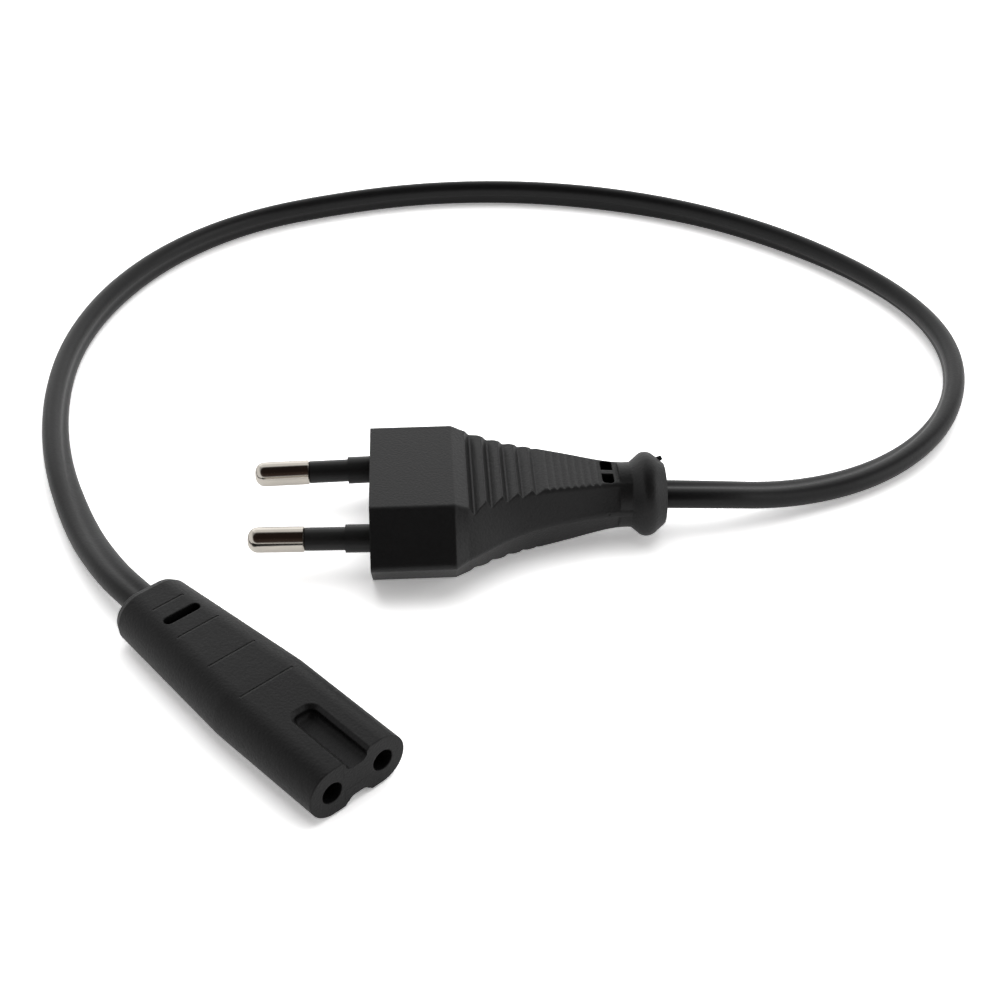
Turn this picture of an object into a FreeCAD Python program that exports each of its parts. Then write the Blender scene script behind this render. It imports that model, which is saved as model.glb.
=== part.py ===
import FreeCAD, Part
import Sketcher
import math
import os
import re

# Short flat mains lead: a two pin plug, a flat twin cord and a figure eight connector.
# Lengths are millimetres and angles degrees. The lead lies on the plane Z = 0.
# The connector points along +X with its mating face towards +X.

# Driving dimensions
SIZES = {
    # Cuts reach this far past the faces that they open
    "overhang": 1.0,
    # Cord and its two cores
    "cordWidth": 5.4,
    "cordThick": 3.4,
    "coreRadius": 1.05,
    "strandRadius": 0.55,
    "coreGap": 0.2,
    "coreStraight": 3.0,
    # Where the plug and the connector lie
    "plugX": -11.2,
    "plugY": 4.0,
    "plugYaw": 49.2,
    "connectorX": 31.2,
    "connectorY": -34.5,
    # Front block of the plug: a hexagon with a ridge along each side
    "blockHeight": 14.0,
    "blockFlat": 22.0,
    "blockWidth": 35.3,
    "blockLength": 13.0,
    "blockRound": 0.9,
    # Cross flutes and fine ribs of the grip
    "fluteStart": 15.1,
    "flutePitch": 2.8,
    "flutePitchLoss": 0.18,
    "fluteDepth": 1.15,
    "fluteDepthLoss": 0.15,
    "fluteValley": 0.3,
    "fluteTread": 0.66,
    "fluteRear": 0.95,
    "fluteTreadDrop": 0.35,
    "fluteValleyRound": 0.25,
    "fluteTreadRound": 0.9,
    "cutClear": 0.05,
    "ribStart": 27.6,
    "ribPitch": 1.15,
    "ribDepth": 0.2,
    "ribValley": 0.35,
    "ribRear": 0.7,
    # Windows over the sheath, just in front of the collar
    "windowStart": 36.5,
    "windowLength": 1.9,
    "windowWidth": 2.5,
    "windowBar": 1.0,
    "windowRound": 0.6,
    # Collar round the cord
    "neckEnd": 41.2,
    "neckRadius": 5.4,
    "collarRadius": 6.75,
    "collarTop": 43.8,
    "collarEnd": 46.7,
    "collarEndRadius": 4.9,
    "collarFlat": 1.4,
    "collarRound": 1.9,
    "neckRun": 2.0,
    "neckRise": 0.25,
    "neckRound": 1.5,
    # Pins, sleeves and the hard bridge that holds them
    "pinSpacingRoot": 18.6,
    "pinSpacingTip": 17.5,
    "pinReach": 19.0,
    "pinRadius": 2.0,
    "pinTipRound": 1.6,
    "pinBare": 8.9,
    "shankRadius": 1.5,
    "sleeveRadius": 1.82,
    "sleeveStep": 0.15,
    "sleeveSlope": 0.25,
    "baseRadius": 2.2,
    "baseReach": 3.9,
    "baseRelief": 0.25,
    "bridgeFront": 2.5,
    "bridgeLength": 6.5,
    "bridgeWidth": 26.0,
    "bridgeHeight": 7.0,
    "bridgeRound": 1.2,
    "flangeRadius": 2.3,
    "flangeLength": 1.0,
    "flangeGap": 0.08,
    "barrelRadius": 1.2,
    "barrelLength": 4.0,
    "bareStrand": 0.8,
    "strandDepth": 3.0,
    "plugSheathEnd": 35.0,
    # Outside of the connector
    "faceWidth": 16.0,
    "faceHeight": 7.8,
    "gripWidth": 16.1,
    "gripHeight": 8.6,
    "tailWidth": 12.4,
    "kinkX": 21.0,
    "connectorLength": 48.5,
    "tailRound": 1.6,
    "grooveWidth": 3.6,
    "grooveFloor": 1.5,
    "grooveLength": 11.5,
    "grooveEdge": 0.5,
    "grooveEndRound": 1.2,
    "slotX": 39.0,
    "slotRun": 2.5,
    "slotLength": 6.1,
    "slotWidth": 1.7,
    # Inside of the connector
    "socketSpacing": 8.6,
    "socketRadius": 1.65,
    "carrierFront": 3.0,
    "carrierLength": 14.0,
    "carrierLobe": 2.7,
    "carrierWeb": 1.4,
    "contactRadius": 1.45,
    "contactShoulder": 0.4,
    "contactFloor": 1.0,
    "contactBore": 1.2,
    "contactDepth": 12.0,
    "slitWidth": 0.6,
    "connectorSheathEnd": 36.0,
}

# Cross sections of the grip behind the block: station, flat half width, half height, ridge half width
GRIP_SECTIONS = [
    (15.0, 10.8, 6.15, 15.6),
    (18.5, 8.8, 6.05, 12.9),
    (22.5, 7.1, 5.85, 10.1),
    (28.0, 5.65, 5.45, 7.7),
    (34.0, 4.2, 4.85, 6.2),
    (41.2, 3.1, 4.4, 5.45),
]

FLUTES = 5
RIBS = 8
HANDS = ((1, "left"), (-1, "right"))

# Strips in each round side of the cord, its cores and their strands
ROUND_STRIPS = 4
# Share of a run that one rounded corner of the cord's route takes up
BEND_SHARE = 0.45
# A swept piece may differ from its section times its length by this share
VOLUME_SLACK = 0.01
# Lengths and volumes closer than this are the same
SAME = 1e-6

# Where the crimps of the plug's pins and of the connector's contacts end
PIN_CRIMP = "bridgeFront + bridgeLength + flangeGap + flangeLength + barrelLength"
CONTACT_CRIMP = "-(carrierFront + carrierLength + flangeLength + barrelLength)"

# Route of the cord between the two mouldings, seen from above and then in height
CORD_ROUTE = [
    (-30.0, -33.6, 1.75),
    (-43.4, -30.3, 1.7),
    (-61.9, -23.1, 1.7),
    (-79.2, -12.9, 1.7),
    (-94.1, 0.3, 1.7),
    (-105.5, 16.8, 1.7),
    (-112.2, 35.7, 1.7),
    (-112.6, 55.5, 1.7),
    (-106.3, 74.5, 1.7),
    (-96.4, 91.9, 1.7),
    (-83.2, 106.9, 1.7),
    (-67.2, 118.8, 1.7),
    (-48.8, 127.1, 1.7),
    (-29.2, 131.2, 1.7),
    (-9.2, 131.4, 1.7),
    (8.4, 126.5, 1.7),
    (22.0, 117.7, 1.7),
    (31.5, 105.0, 1.7),
    (37.0, 89.8, 1.7),
    (36.3, 73.8, 1.7),
    (30.8, 58.5, 2.7),
]
CONNECTOR_EXIT_RUN = 4.0
PLUG_EXIT_RUN = 6.3

doc = FreeCAD.newDocument("figure_eight_lead")
sheet = doc.addObject("Spreadsheet::Sheet", "Sizes")


def fill_sheet():
    """Write every driving dimension into the sheet, one row each."""
    rows = dict(SIZES)
    for number, section in enumerate(GRIP_SECTIONS, 1):
        for word, size in zip(("station", "flatHalf", "halfHeight", "ridgeHalf"), section):
            rows[word + "Of" + str(number)] = size
    for row, (alias, size) in enumerate(rows.items(), 1):
        sheet.set("A" + str(row), alias)
        sheet.set("B" + str(row), str(size))
        sheet.setAlias("B" + str(row), alias)
    doc.recompute()
    return rows


ROWS = fill_sheet()


def bound(text):
    """Turn 'cordWidth / 2' into an expression that reads the sheet."""
    def from_sheet(word):
        return "Sizes." + word[0] if word[0] in ROWS else word[0]

    return re.sub(r"[A-Za-z]+[0-9]*", from_sheet, text)


def value(text):
    """The present value of such an expression."""
    result = sheet.evalExpression(bound(text))
    return float(getattr(result, "Value", result))


def bind(item, path, text):
    item.setExpression(path, bound(text))


# Where things lie


def axis_height(side):
    return value("blockHeight / 2" if side == "plug" else "gripHeight / 2")


def lay(item, side):
    """Put an object that was modelled about its moulding's axis where the moulding lies."""
    if side == "plug":
        bind(item, "Placement.Base.x", "plugX")
        bind(item, "Placement.Base.y", "plugY")
        bind(item, "Placement.Base.z", "blockHeight / 2")
        item.Placement.Rotation = FreeCAD.Rotation(FreeCAD.Vector(0, 0, 1), value("plugYaw"))
        bind(item, "Placement.Rotation.Angle", "plugYaw")
    else:
        bind(item, "Placement.Base.x", "connectorX")
        bind(item, "Placement.Base.y", "connectorY")
        bind(item, "Placement.Base.z", "gripHeight / 2")


def frame_of(side):
    """The placement of a moulding as plain numbers, for routes and swept pieces."""
    if side == "plug":
        turn = FreeCAD.Rotation(FreeCAD.Vector(0, 0, 1), value("plugYaw"))
        where = FreeCAD.Vector(value("plugX"), value("plugY"), axis_height(side))
        return FreeCAD.Placement(where, turn)
    where = FreeCAD.Vector(value("connectorX"), value("connectorY"), axis_height(side))
    return FreeCAD.Placement(where, FreeCAD.Rotation())


def pin_tilt():
    """The pins lean towards each other by this angle."""
    inward = value("(pinSpacingRoot - pinSpacingTip) / 2")
    return math.degrees(math.atan2(inward, value("pinReach")))


def pin_point(hand, along):
    """A point of a pin's axis in the plug, at this distance behind the plug's face."""
    root = FreeCAD.Vector(0, hand * value("pinSpacingRoot / 2"), 0)
    lean = FreeCAD.Rotation(FreeCAD.Vector(0, 0, 1), hand * pin_tilt())
    return root + lean.multVec(FreeCAD.Vector(along, 0, 0))


# Sketches


def new_body(name):
    return doc.addObject("PartDesign::Body", name)


def sketch_on(body, role, name, offset="0"):
    """A sketch on one of the body's own origin planes, moved along the plane's normal."""
    sketch = body.newObject("Sketcher::SketchObject", name)
    plane = next(f for f in body.Origin.OriginFeatures if f.Role == role)
    sketch.AttachmentSupport = [(plane, "")]
    sketch.MapMode = "FlatFace"
    bind(sketch, "AttachmentOffset.Base.z", offset)
    return sketch


def pin_down(sketch, geometry, point, x, y):
    """Hold one point of the sketch at a place given by two sheet expressions."""
    for kind, text in (("DistanceX", x), ("DistanceY", y)):
        number = sketch.addConstraint(Sketcher.Constraint(kind, -1, 1, geometry, point, value(text)))
        bind(sketch, "Constraints[" + str(number) + "]", text)


def set_radius(sketch, geometry, text):
    number = sketch.addConstraint(Sketcher.Constraint("Radius", geometry, value(text)))
    bind(sketch, "Constraints[" + str(number) + "]", text)


def outline(sketch, corners, rounds=None):
    """A closed outline through corners given as sheet expressions, some of them rounded."""
    first = len(sketch.Geometry)
    count = len(corners)
    spots = [FreeCAD.Vector(value(x), value(y), 0) for x, y in corners]
    for i in range(count):
        sketch.addGeometry(Part.LineSegment(spots[i], spots[(i + 1) % count]), False)
    for i in range(count):
        following = first + (i + 1) % count
        sketch.addConstraint(Sketcher.Constraint("Coincident", first + i, 2, following, 1))
    for i in range(count):
        pin_down(sketch, first + i, 1, *corners[i])
    for i, radius in (rounds or {}).items():
        before = len(sketch.Geometry)
        sketch.fillet(first + i, 1, value(radius), True, True)
        added = range(before, len(sketch.Geometry))
        arc = next(g for g in added if sketch.Geometry[g].TypeId == "Part::GeomArcOfCircle")
        set_radius(sketch, arc, radius)


def circle(sketch, x, y, radius):
    centre = FreeCAD.Vector(value(x), value(y), 0)
    ring = Part.Circle(centre, FreeCAD.Vector(0, 0, 1), value(radius))
    number = sketch.addGeometry(ring, False)
    pin_down(sketch, number, 3, x, y)
    set_radius(sketch, number, radius)


def stadium(sketch, half, radius, x="0", y="0"):
    """A slot shape, two half circles joined by lines, lying along the sketch's first axis."""
    first = len(sketch.Geometry)
    reach, size = value(half), value(radius)
    centre = FreeCAD.Vector(value(x), value(y), 0)
    up = FreeCAD.Vector(0, size, 0)
    out = FreeCAD.Vector(reach, 0, 0)
    normal = FreeCAD.Vector(0, 0, 1)
    right = Part.Circle(centre + out, normal, size)
    left = Part.Circle(centre - out, normal, size)
    sketch.addGeometry(Part.ArcOfCircle(right, -math.pi / 2, math.pi / 2), False)
    sketch.addGeometry(Part.LineSegment(centre + out + up, centre - out + up), False)
    sketch.addGeometry(Part.ArcOfCircle(left, math.pi / 2, 3 * math.pi / 2), False)
    sketch.addGeometry(Part.LineSegment(centre - out - up, centre + out - up), False)
    for i in range(4):
        sketch.addConstraint(Sketcher.Constraint("Tangent", first + i, 2, first + (i + 1) % 4, 1))
    pin_down(sketch, first, 3, x + " + " + half, y)
    pin_down(sketch, first + 2, 3, x + " - (" + half + ")", y)
    set_radius(sketch, first, radius)


# Features


def pad(body, sketch, name, length):
    feature = body.newObject("PartDesign::Pad", name)
    feature.Profile = sketch
    bind(feature, "Length", length)
    return feature


def pocket(body, sketch, name, length, both_ways=False, backwards=False):
    """A cut that must take material away."""
    doc.recompute()
    before = body.Shape.Volume
    feature = body.newObject("PartDesign::Pocket", name)
    feature.Profile = sketch
    bind(feature, "Length", length)
    feature.Midplane = both_ways
    feature.Reversed = backwards
    doc.recompute()
    if feature.Shape.Volume > before - SAME:
        raise ValueError(name + " cuts nothing")
    return feature


def revolve(body, sketch, name):
    """A full turn about the body's X axis."""
    feature = body.newObject("PartDesign::Revolution", name)
    feature.Profile = sketch
    axis = next(f for f in body.Origin.OriginFeatures if f.Role == "X_Axis")
    feature.ReferenceAxis = (axis, [""])
    feature.Angle = 360
    return feature


def loft(body, sketches, name, ruled):
    feature = body.newObject("PartDesign::AdditiveLoft", name)
    feature.Profile = sketches[0]
    feature.Sections = sketches[1:]
    feature.Ruled = ruled
    return feature


def mirror(body, original, role, name):
    """Repeat a cut on the other side of one of the body's own planes."""
    feature = body.newObject("PartDesign::Mirrored", name)
    feature.Originals = [original]
    plane = next(f for f in body.Origin.OriginFeatures if f.Role == role)
    feature.MirrorPlane = (plane, [""])
    body.Tip = feature
    return feature


def edges_where(feature, test):
    """Names of a feature's edges that pass a test on their box."""
    return ["Edge" + str(i) for i, e in enumerate(feature.Shape.Edges, 1) if test(e.BoundBox, e)]


def chamfer(body, feature, name, names, size):
    result = body.newObject("PartDesign::Chamfer", name)
    result.Base = (feature, names)
    bind(result, "Size", size)
    doc.recompute()
    return result


# Part objects


def fused(name, items):
    result = doc.addObject("Part::MultiFuse", name)
    result.Shapes = items
    return result


def cut(name, base, tools):
    """What is left of an object once the tools, which lie where they belong, are taken away."""
    result = doc.addObject("Part::Cut", name)
    result.Base = base
    result.Tool = tools[0] if len(tools) == 1 else fused(name + "_tool", tools)
    return result


def rounded_path(points):
    """Straight runs joined by tangent arcs, as large as the runs allow."""
    edges = []
    start = points[0]
    for before, corner, after in zip(points, points[1:], points[2:]):
        into = (before - corner).normalize()
        away = (after - corner).normalize()
        half_turn = (math.pi - into.getAngle(away)) / 2
        reach = BEND_SHARE * min((before - corner).Length, (after - corner).Length)
        radius = reach / math.tan(half_turn)
        first = corner + into * reach
        last = corner + away * reach
        inward = (into + away).normalize()
        middle = corner + inward * (radius / math.cos(half_turn) - radius)
        edges.append(Part.LineSegment(start, first).toShape())
        edges.append(Part.Arc(first, middle, last).toShape())
        start = last
    edges.append(Part.LineSegment(start, points[-1]).toShape())
    return Part.Wire(edges)


def section_at(path, wide, thick):
    """An oval, or a circle when both sizes agree, square to the start of a path.

    Its round sides are strips, which keep the long bends light.
    """
    start = path.Edges[0].Vertexes[0].Point
    along = (path.Edges[0].Vertexes[1].Point - start).normalize()
    across = FreeCAD.Vector(0, 0, 1).cross(along).normalize()
    up = along.cross(across)
    radius = thick / 2
    flat = wide / 2 - radius
    last = ROUND_STRIPS + 1 if flat > 0 else ROUND_STRIPS
    corners = []
    for side in (1, -1):
        for step in range(last):
            angle = math.pi * step / ROUND_STRIPS
            out = flat + radius * math.sin(angle)
            rise = radius * math.cos(angle)
            corners.append(start + (across * out + up * rise) * side)
    return Part.makePolygon(corners + corners[:1])


def swept(name, path, wide, thick):
    """A solid cord, core or strand along a path, its flat sides kept level."""
    wide, thick = value(wide), value(thick)
    section = section_at(path, wide, thick)
    shell = Part.BRepOffsetAPI.MakePipeShell(path)
    shell.setBiNormalMode(FreeCAD.Vector(0, 0, 1))
    shell.setTransitionMode(1)
    shell.add(section)
    shell.build()
    shell.makeSolid()
    item = doc.addObject("Part::Feature", name)
    item.Shape = shell.shape()
    ratio = item.Shape.Volume / (Part.Face(section).Area * path.Length)
    print(name, "length", round(path.Length, 1), "volume ratio", round(ratio, 4))
    if abs(ratio - 1) > VOLUME_SLACK:
        raise ValueError(name + " has the wrong volume")
    return item


# Cord


def cord_points():
    """From the end of the sheath in the connector, round the loop, to its end in the plug."""
    plug = frame_of("plug")
    connector = frame_of("connector")
    vector = FreeCAD.Vector
    inside = connector.multVec(vector(-value("connectorSheathEnd"), 0, 0))
    leaving = connector.multVec(vector(-value("connectorLength") - CONNECTOR_EXIT_RUN, 0, 0))
    arriving = plug.multVec(vector(value("collarEnd") + PLUG_EXIT_RUN, 0, 0))
    ending = plug.multVec(vector(value("plugSheathEnd"), 0, 0))
    return [inside, leaving] + [vector(*p) for p in CORD_ROUTE] + [arriving, ending]


def make_cord():
    return swept("cord", rounded_path(cord_points()), "cordWidth", "cordThick")


# Plug


def hexagon(sketch, flat, half, ridge):
    """The plug's section: flat top and bottom, and a ridge along each side."""
    outline(sketch, [
        (flat, half),
        ("-(" + flat + ")", half),
        ("-(" + ridge + ")", "0"),
        ("-(" + flat + ")", "-(" + half + ")"),
        (flat, "-(" + half + ")"),
        (ridge, "0"),
    ], {i: "blockRound" for i in range(6)})


def grip_section(body, number, name):
    """One cross section of the grip at its station."""
    station, flat, half, ridge = [
        word + "Of" + str(number) for word in ("station", "flatHalf", "halfHeight", "ridgeHalf")
    ]
    sketch = sketch_on(body, "YZ_Plane", name, station)
    hexagon(sketch, flat, half, ridge)
    return sketch


def add_block_and_grip(body):
    block = ("blockFlat / 2", "blockHeight / 2", "blockWidth / 2")
    front = sketch_on(body, "YZ_Plane", "block_section")
    hexagon(front, *block)
    pad(body, front, "block", "blockLength")
    rear = sketch_on(body, "YZ_Plane", "block_rear", "blockLength")
    hexagon(rear, *block)
    loft(body, [rear, grip_section(body, 1, "shoulder_end")], "shoulder", True)
    numbers = range(1, len(GRIP_SECTIONS) + 1)
    loft(body, [grip_section(body, n, "grip_section_" + str(n)) for n in numbers], "grip", False)
    doc.recompute()


def add_collar(body):
    """The round collar that the cord comes out of, turned about the plug's axis."""
    start = "neckEnd - neckRun"
    profile = sketch_on(body, "XZ_Plane", "collar_profile")
    outline(profile, [
        (start, "0"),
        ("collarEnd", "0"),
        ("collarEnd", "collarEndRadius"),
        ("collarTop + collarFlat / 2", "collarRadius"),
        ("collarTop - collarFlat / 2", "collarRadius"),
        ("neckEnd", "neckRadius - neckRise"),
        (start, "neckRadius - neckRise"),
    ], {3: "collarRound", 4: "neckRound"})
    revolve(body, profile, "collar")


def grip_top(first, last, x):
    """Height of the grip's flat top between two of its sections."""
    rise = "(halfHeightOf{1} - halfHeightOf{0}) / (stationOf{1} - stationOf{0})".format(first, last)
    return "halfHeightOf{0} + (({1}) - stationOf{0}) * {2}".format(first, x, rise)


def add_flutes(body):
    """Finger flutes across the grip: a steep front wall, then a rounded tread that rises again."""
    sketch = sketch_on(body, "XZ_Plane", "flute_profiles")
    above = "blockHeight / 2 + overhang"
    front = "fluteStart"
    for number in range(FLUTES):
        pitch = "(flutePitch - {0} * flutePitchLoss)".format(number)
        depth = "(fluteDepth - {0} * fluteDepthLoss)".format(number)
        valley = front + " + fluteValley * " + pitch
        tread = front + " + fluteTread * " + pitch
        rear = front + " + fluteRear * " + pitch
        outline(sketch, [
            (front, above),
            (front, grip_top(1, 4, front) + " + cutClear"),
            (valley, grip_top(1, 4, valley) + " - " + depth),
            (tread, grip_top(1, 4, tread) + " - fluteTreadDrop * " + depth),
            (rear, grip_top(1, 4, rear) + " + cutClear"),
            (rear, above),
        ], {2: "fluteValleyRound", 3: "fluteTreadRound"})
        front = front + " + " + pitch
    flutes = pocket(body, sketch, "flutes", "blockWidth + 2 * overhang", both_ways=True)
    mirror(body, flutes, "XY_Plane", "flutes_both_sides")


def add_ribs(body):
    """Fine cross ribs between the flutes and the windows, left standing by shallow notches."""
    sketch = sketch_on(body, "XZ_Plane", "rib_notches")
    above = "blockHeight / 2 + overhang"
    for number in range(RIBS):
        front = "ribStart + {0} * ribPitch".format(number)
        middle = front + " + ribValley * ribPitch"
        rear = front + " + ribRear * ribPitch"
        outline(sketch, [
            (front, above),
            (front, grip_top(4, 5, front)),
            (middle, grip_top(4, 5, middle) + " - ribDepth"),
            (rear, grip_top(4, 5, rear)),
            (rear, above),
        ])
    notches = pocket(body, sketch, "rib_cuts", "blockWidth + 2 * overhang", both_ways=True)
    mirror(body, notches, "XY_Plane", "ribs_both_sides")


def add_windows(body):
    """Two windows down to the sheath, with a bar between them, above and below."""
    sketch = sketch_on(body, "XY_Plane", "windows", "cordThick / 2")
    inner = "windowBar / 2"
    outer = "windowBar / 2 + windowWidth"
    rear = "windowStart + windowLength"
    for sign in ("", "-"):
        near, far = [sign + "(" + edge + ")" for edge in (inner, outer)]
        outline(sketch, [("windowStart", near), (rear, near), (rear, far), ("windowStart", far)],
                {2: "windowRound", 3: "windowRound"})
    windows = pocket(body, sketch, "window_cuts", "blockHeight / 2", backwards=True)
    mirror(body, windows, "XY_Plane", "windows_both_sides")


def make_plug_outside():
    """The moulded outside of the plug, still solid."""
    body = new_body("plug_outside")
    add_block_and_grip(body)
    add_collar(body)
    add_flutes(body)
    add_ribs(body)
    add_windows(body)
    lay(body, "plug")
    return body


def make_bridge():
    """Hard bridge moulded round both pins, with a thick sleeve base round each of them."""
    plug = frame_of("plug")
    block = doc.addObject("Part::Box", "bridge_block")
    bind(block, "Length", "bridgeLength")
    bind(block, "Width", "bridgeWidth")
    bind(block, "Height", "bridgeHeight")
    corner = FreeCAD.Vector(value("bridgeFront"), -value("bridgeWidth / 2"), -value("bridgeHeight / 2"))
    block.Placement = plug * FreeCAD.Placement(corner, FreeCAD.Rotation())
    doc.recompute()
    rounded = doc.addObject("Part::Fillet", "bridge_rounded")
    rounded.Base = block
    radius, length = value("bridgeRound"), value("bridgeLength")
    rounded.Edges = [
        (number, radius, radius)
        for number, edge in enumerate(block.Shape.Edges, 1)
        if abs(edge.Length - length) < SAME
    ]
    bases = []
    bores = []
    for hand, word in HANDS:
        inside = "baseReach + bridgeFront + bridgeLength / 2"
        through = "baseReach + bridgeFront + bridgeLength + 2 * overhang"
        bases.append(pin_cylinder("base_" + word, hand, "-baseReach", "baseRadius", inside))
        bores.append(pin_cylinder("bore_" + word, hand, "-baseReach - overhang", "sleeveRadius", through))
    solid = fused("bridge_solid", [rounded] + bases)
    return cut("plug_bridge", solid, bores), solid


def pin_cylinder(name, hand, start, radius, length):
    """A cylinder on the axis of one pin."""
    item = doc.addObject("Part::Cylinder", name)
    bind(item, "Radius", radius)
    bind(item, "Height", length)
    turn = FreeCAD.Rotation(FreeCAD.Vector(0, 0, 1), hand * pin_tilt())
    upright = FreeCAD.Rotation(FreeCAD.Vector(0, 1, 0), 90)
    item.Placement = frame_of("plug") * FreeCAD.Placement(pin_point(hand, value(start)), turn * upright)
    return item


def on_pin(body, hand):
    """Lay a turned piece on the axis of one pin."""
    turn = FreeCAD.Rotation(FreeCAD.Vector(0, 0, 1), hand * pin_tilt())
    body.Placement = frame_of("plug") * FreeCAD.Placement(pin_point(hand, 0), turn)


def make_pin(hand, word):
    """Turned contact pin: domed tip, full shank, thinner neck, flange and crimp barrel."""
    body = new_body("plug_pin_" + word)
    profile = sketch_on(body, "XZ_Plane", "pin_profile_" + word)
    neck = "-(pinReach - pinBare)"
    seat = "bridgeFront + bridgeLength + flangeGap"
    barrel = seat + " + flangeLength"
    end = barrel + " + barrelLength"
    outline(profile, [
        ("-pinReach", "0"),
        ("-pinReach", "pinRadius"),
        (neck + " - sleeveSlope", "pinRadius"),
        (neck, "sleeveRadius - sleeveStep"),
        (neck, "shankRadius"),
        (seat, "shankRadius"),
        (seat, "flangeRadius"),
        (barrel, "flangeRadius"),
        (barrel, "barrelRadius"),
        (end, "barrelRadius"),
        (end, "strandRadius"),
        (end + " - strandDepth", "strandRadius"),
        (end + " - strandDepth", "0"),
    ], {1: "pinTipRound"})
    revolve(body, profile, "pin_" + word)
    on_pin(body, hand)
    return body


def make_sleeve(hand, word):
    """Insulating sleeve on the neck of a pin, from the bare metal to the back of the bridge."""
    body = new_body("pin_sleeve_" + word)
    profile = sketch_on(body, "XZ_Plane", "sleeve_profile_" + word)
    neck = "-(pinReach - pinBare)"
    seat = "bridgeFront + bridgeLength - flangeGap"
    outline(profile, [
        (neck, "shankRadius"),
        (seat, "shankRadius"),
        (seat, "sleeveRadius"),
        (neck, "sleeveRadius"),
    ])
    revolve(body, profile, "sleeve_" + word)
    on_pin(body, hand)
    return body


def make_core(name, bare, points):
    """An insulated core round its strands, which start further back inside the crimp."""
    strand, core = "strandRadius * 2", "coreRadius * 2"
    strands = swept(name + "_strands", Part.makePolygon([bare] + points[1:]), strand, strand)
    cover = swept(name + "_cover", Part.makePolygon(points), core, core)
    return cut(name + "_core", cover, [strands]), strands, cover


def make_plug_core(hand, word):
    """From the crimp of a pin to the end of the sheath."""
    plug = frame_of("plug")
    crimp = value(PIN_CRIMP)
    start = crimp + value("bareStrand")
    side = hand * value("coreRadius + coreGap / 2")
    sheath = value("plugSheathEnd")
    straight = value("coreStraight")
    points = [
        pin_point(hand, start),
        pin_point(hand, start + straight),
        FreeCAD.Vector(sheath - straight * 1.5, side, 0),
        FreeCAD.Vector(sheath, side, 0),
    ]
    bare = pin_point(hand, crimp - value("strandDepth"))
    return make_core("plug_" + word, plug.multVec(bare), [plug.multVec(p) for p in points])


# Connector


def connector_section(body, name, behind, width, height):
    """One slot-shaped cross section, at this distance behind the mating face."""
    sketch = sketch_on(body, "YZ_Plane", name, "-(" + behind + ")")
    stadium(sketch, "(({0}) - ({1})) / 2".format(width, height), "({0}) / 2".format(height))
    return sketch


def make_connector_outside():
    """The moulded outside of the connector, still solid but for what is cut in from outside."""
    body = new_body("connector_outside")
    rise = "tailRound * {0}".format(round(1 - math.sqrt(0.5), 4))
    tail = "connectorLength - tailRound"
    taper = "(gripWidth - tailWidth) / ({0} - kinkX)".format(tail)
    before_slot, behind_slot = [
        (place, "gripWidth - ({0} - kinkX) * {1}".format(place, taper), "gripHeight")
        for place in ("(slotX - slotRun / 2)", "(slotX + slotRun / 2)")
    ]
    loft(body, [
        connector_section(body, "face_section", "0", "faceWidth", "faceHeight"),
        connector_section(body, "kink_section", "kinkX", "gripWidth", "gripHeight"),
        connector_section(body, "slot_front", *before_slot),
        connector_section(body, "slot_rear", *behind_slot),
        connector_section(body, "tail_section", tail, "tailWidth", "gripHeight"),
        connector_section(body, "tail_slope", "connectorLength - " + rise,
                          "tailWidth - 2 * " + rise, "gripHeight - 2 * " + rise),
        connector_section(body, "tail_end", "connectorLength",
                          "tailWidth - 2 * tailRound", "gripHeight - 2 * tailRound"),
    ], "outside", True)
    add_grooves(body)
    add_face_holes(body)
    add_slot(body)
    lay(body, "connector")
    return body


def add_grooves(body):
    """The key groove between the two lobes, above and below, with sloped edges."""
    sketch = sketch_on(body, "XY_Plane", "groove_plan", "grooveFloor")
    half = "grooveWidth / 2"
    outline(sketch, [
        ("overhang", half),
        ("-grooveLength", half),
        ("-grooveLength", "-" + half),
        ("overhang", "-" + half),
    ], {1: "grooveEndRound", 2: "grooveEndRound"})
    groove = pocket(body, sketch, "groove", "faceHeight", backwards=True)
    both = mirror(body, groove, "XY_Plane", "groove_both_sides")
    doc.recompute()
    reach = value("grooveWidth / 2 + cutClear")
    halfway = value("grooveFloor / 2 + faceHeight / 4")

    def is_rim(box, edge):
        between = box.YMax < reach and box.YMin > -reach
        outer = abs(box.ZMax) > halfway and abs(box.ZMin) > halfway
        return between and outer and box.XLength + box.YLength > box.ZLength

    chamfer(body, both, "groove_edges", edges_where(both, is_rim), "grooveEdge")


def add_face_holes(body):
    sketch = sketch_on(body, "YZ_Plane", "face_holes")
    circle(sketch, "socketSpacing / 2", "0", "socketRadius")
    circle(sketch, "-socketSpacing / 2", "0", "socketRadius")
    pocket(body, sketch, "pin_holes", "carrierFront")


def add_slot(body):
    """The window through to the sheath near the tail, above and below."""
    sketch = sketch_on(body, "XY_Plane", "slot_plan", "cordThick / 2")
    upright_stadium(sketch, "-slotX", "(slotLength - slotWidth) / 2", "slotWidth / 2")
    slot = pocket(body, sketch, "slot", "gripHeight / 2", backwards=True)
    mirror(body, slot, "XY_Plane", "slot_both_sides")


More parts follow.
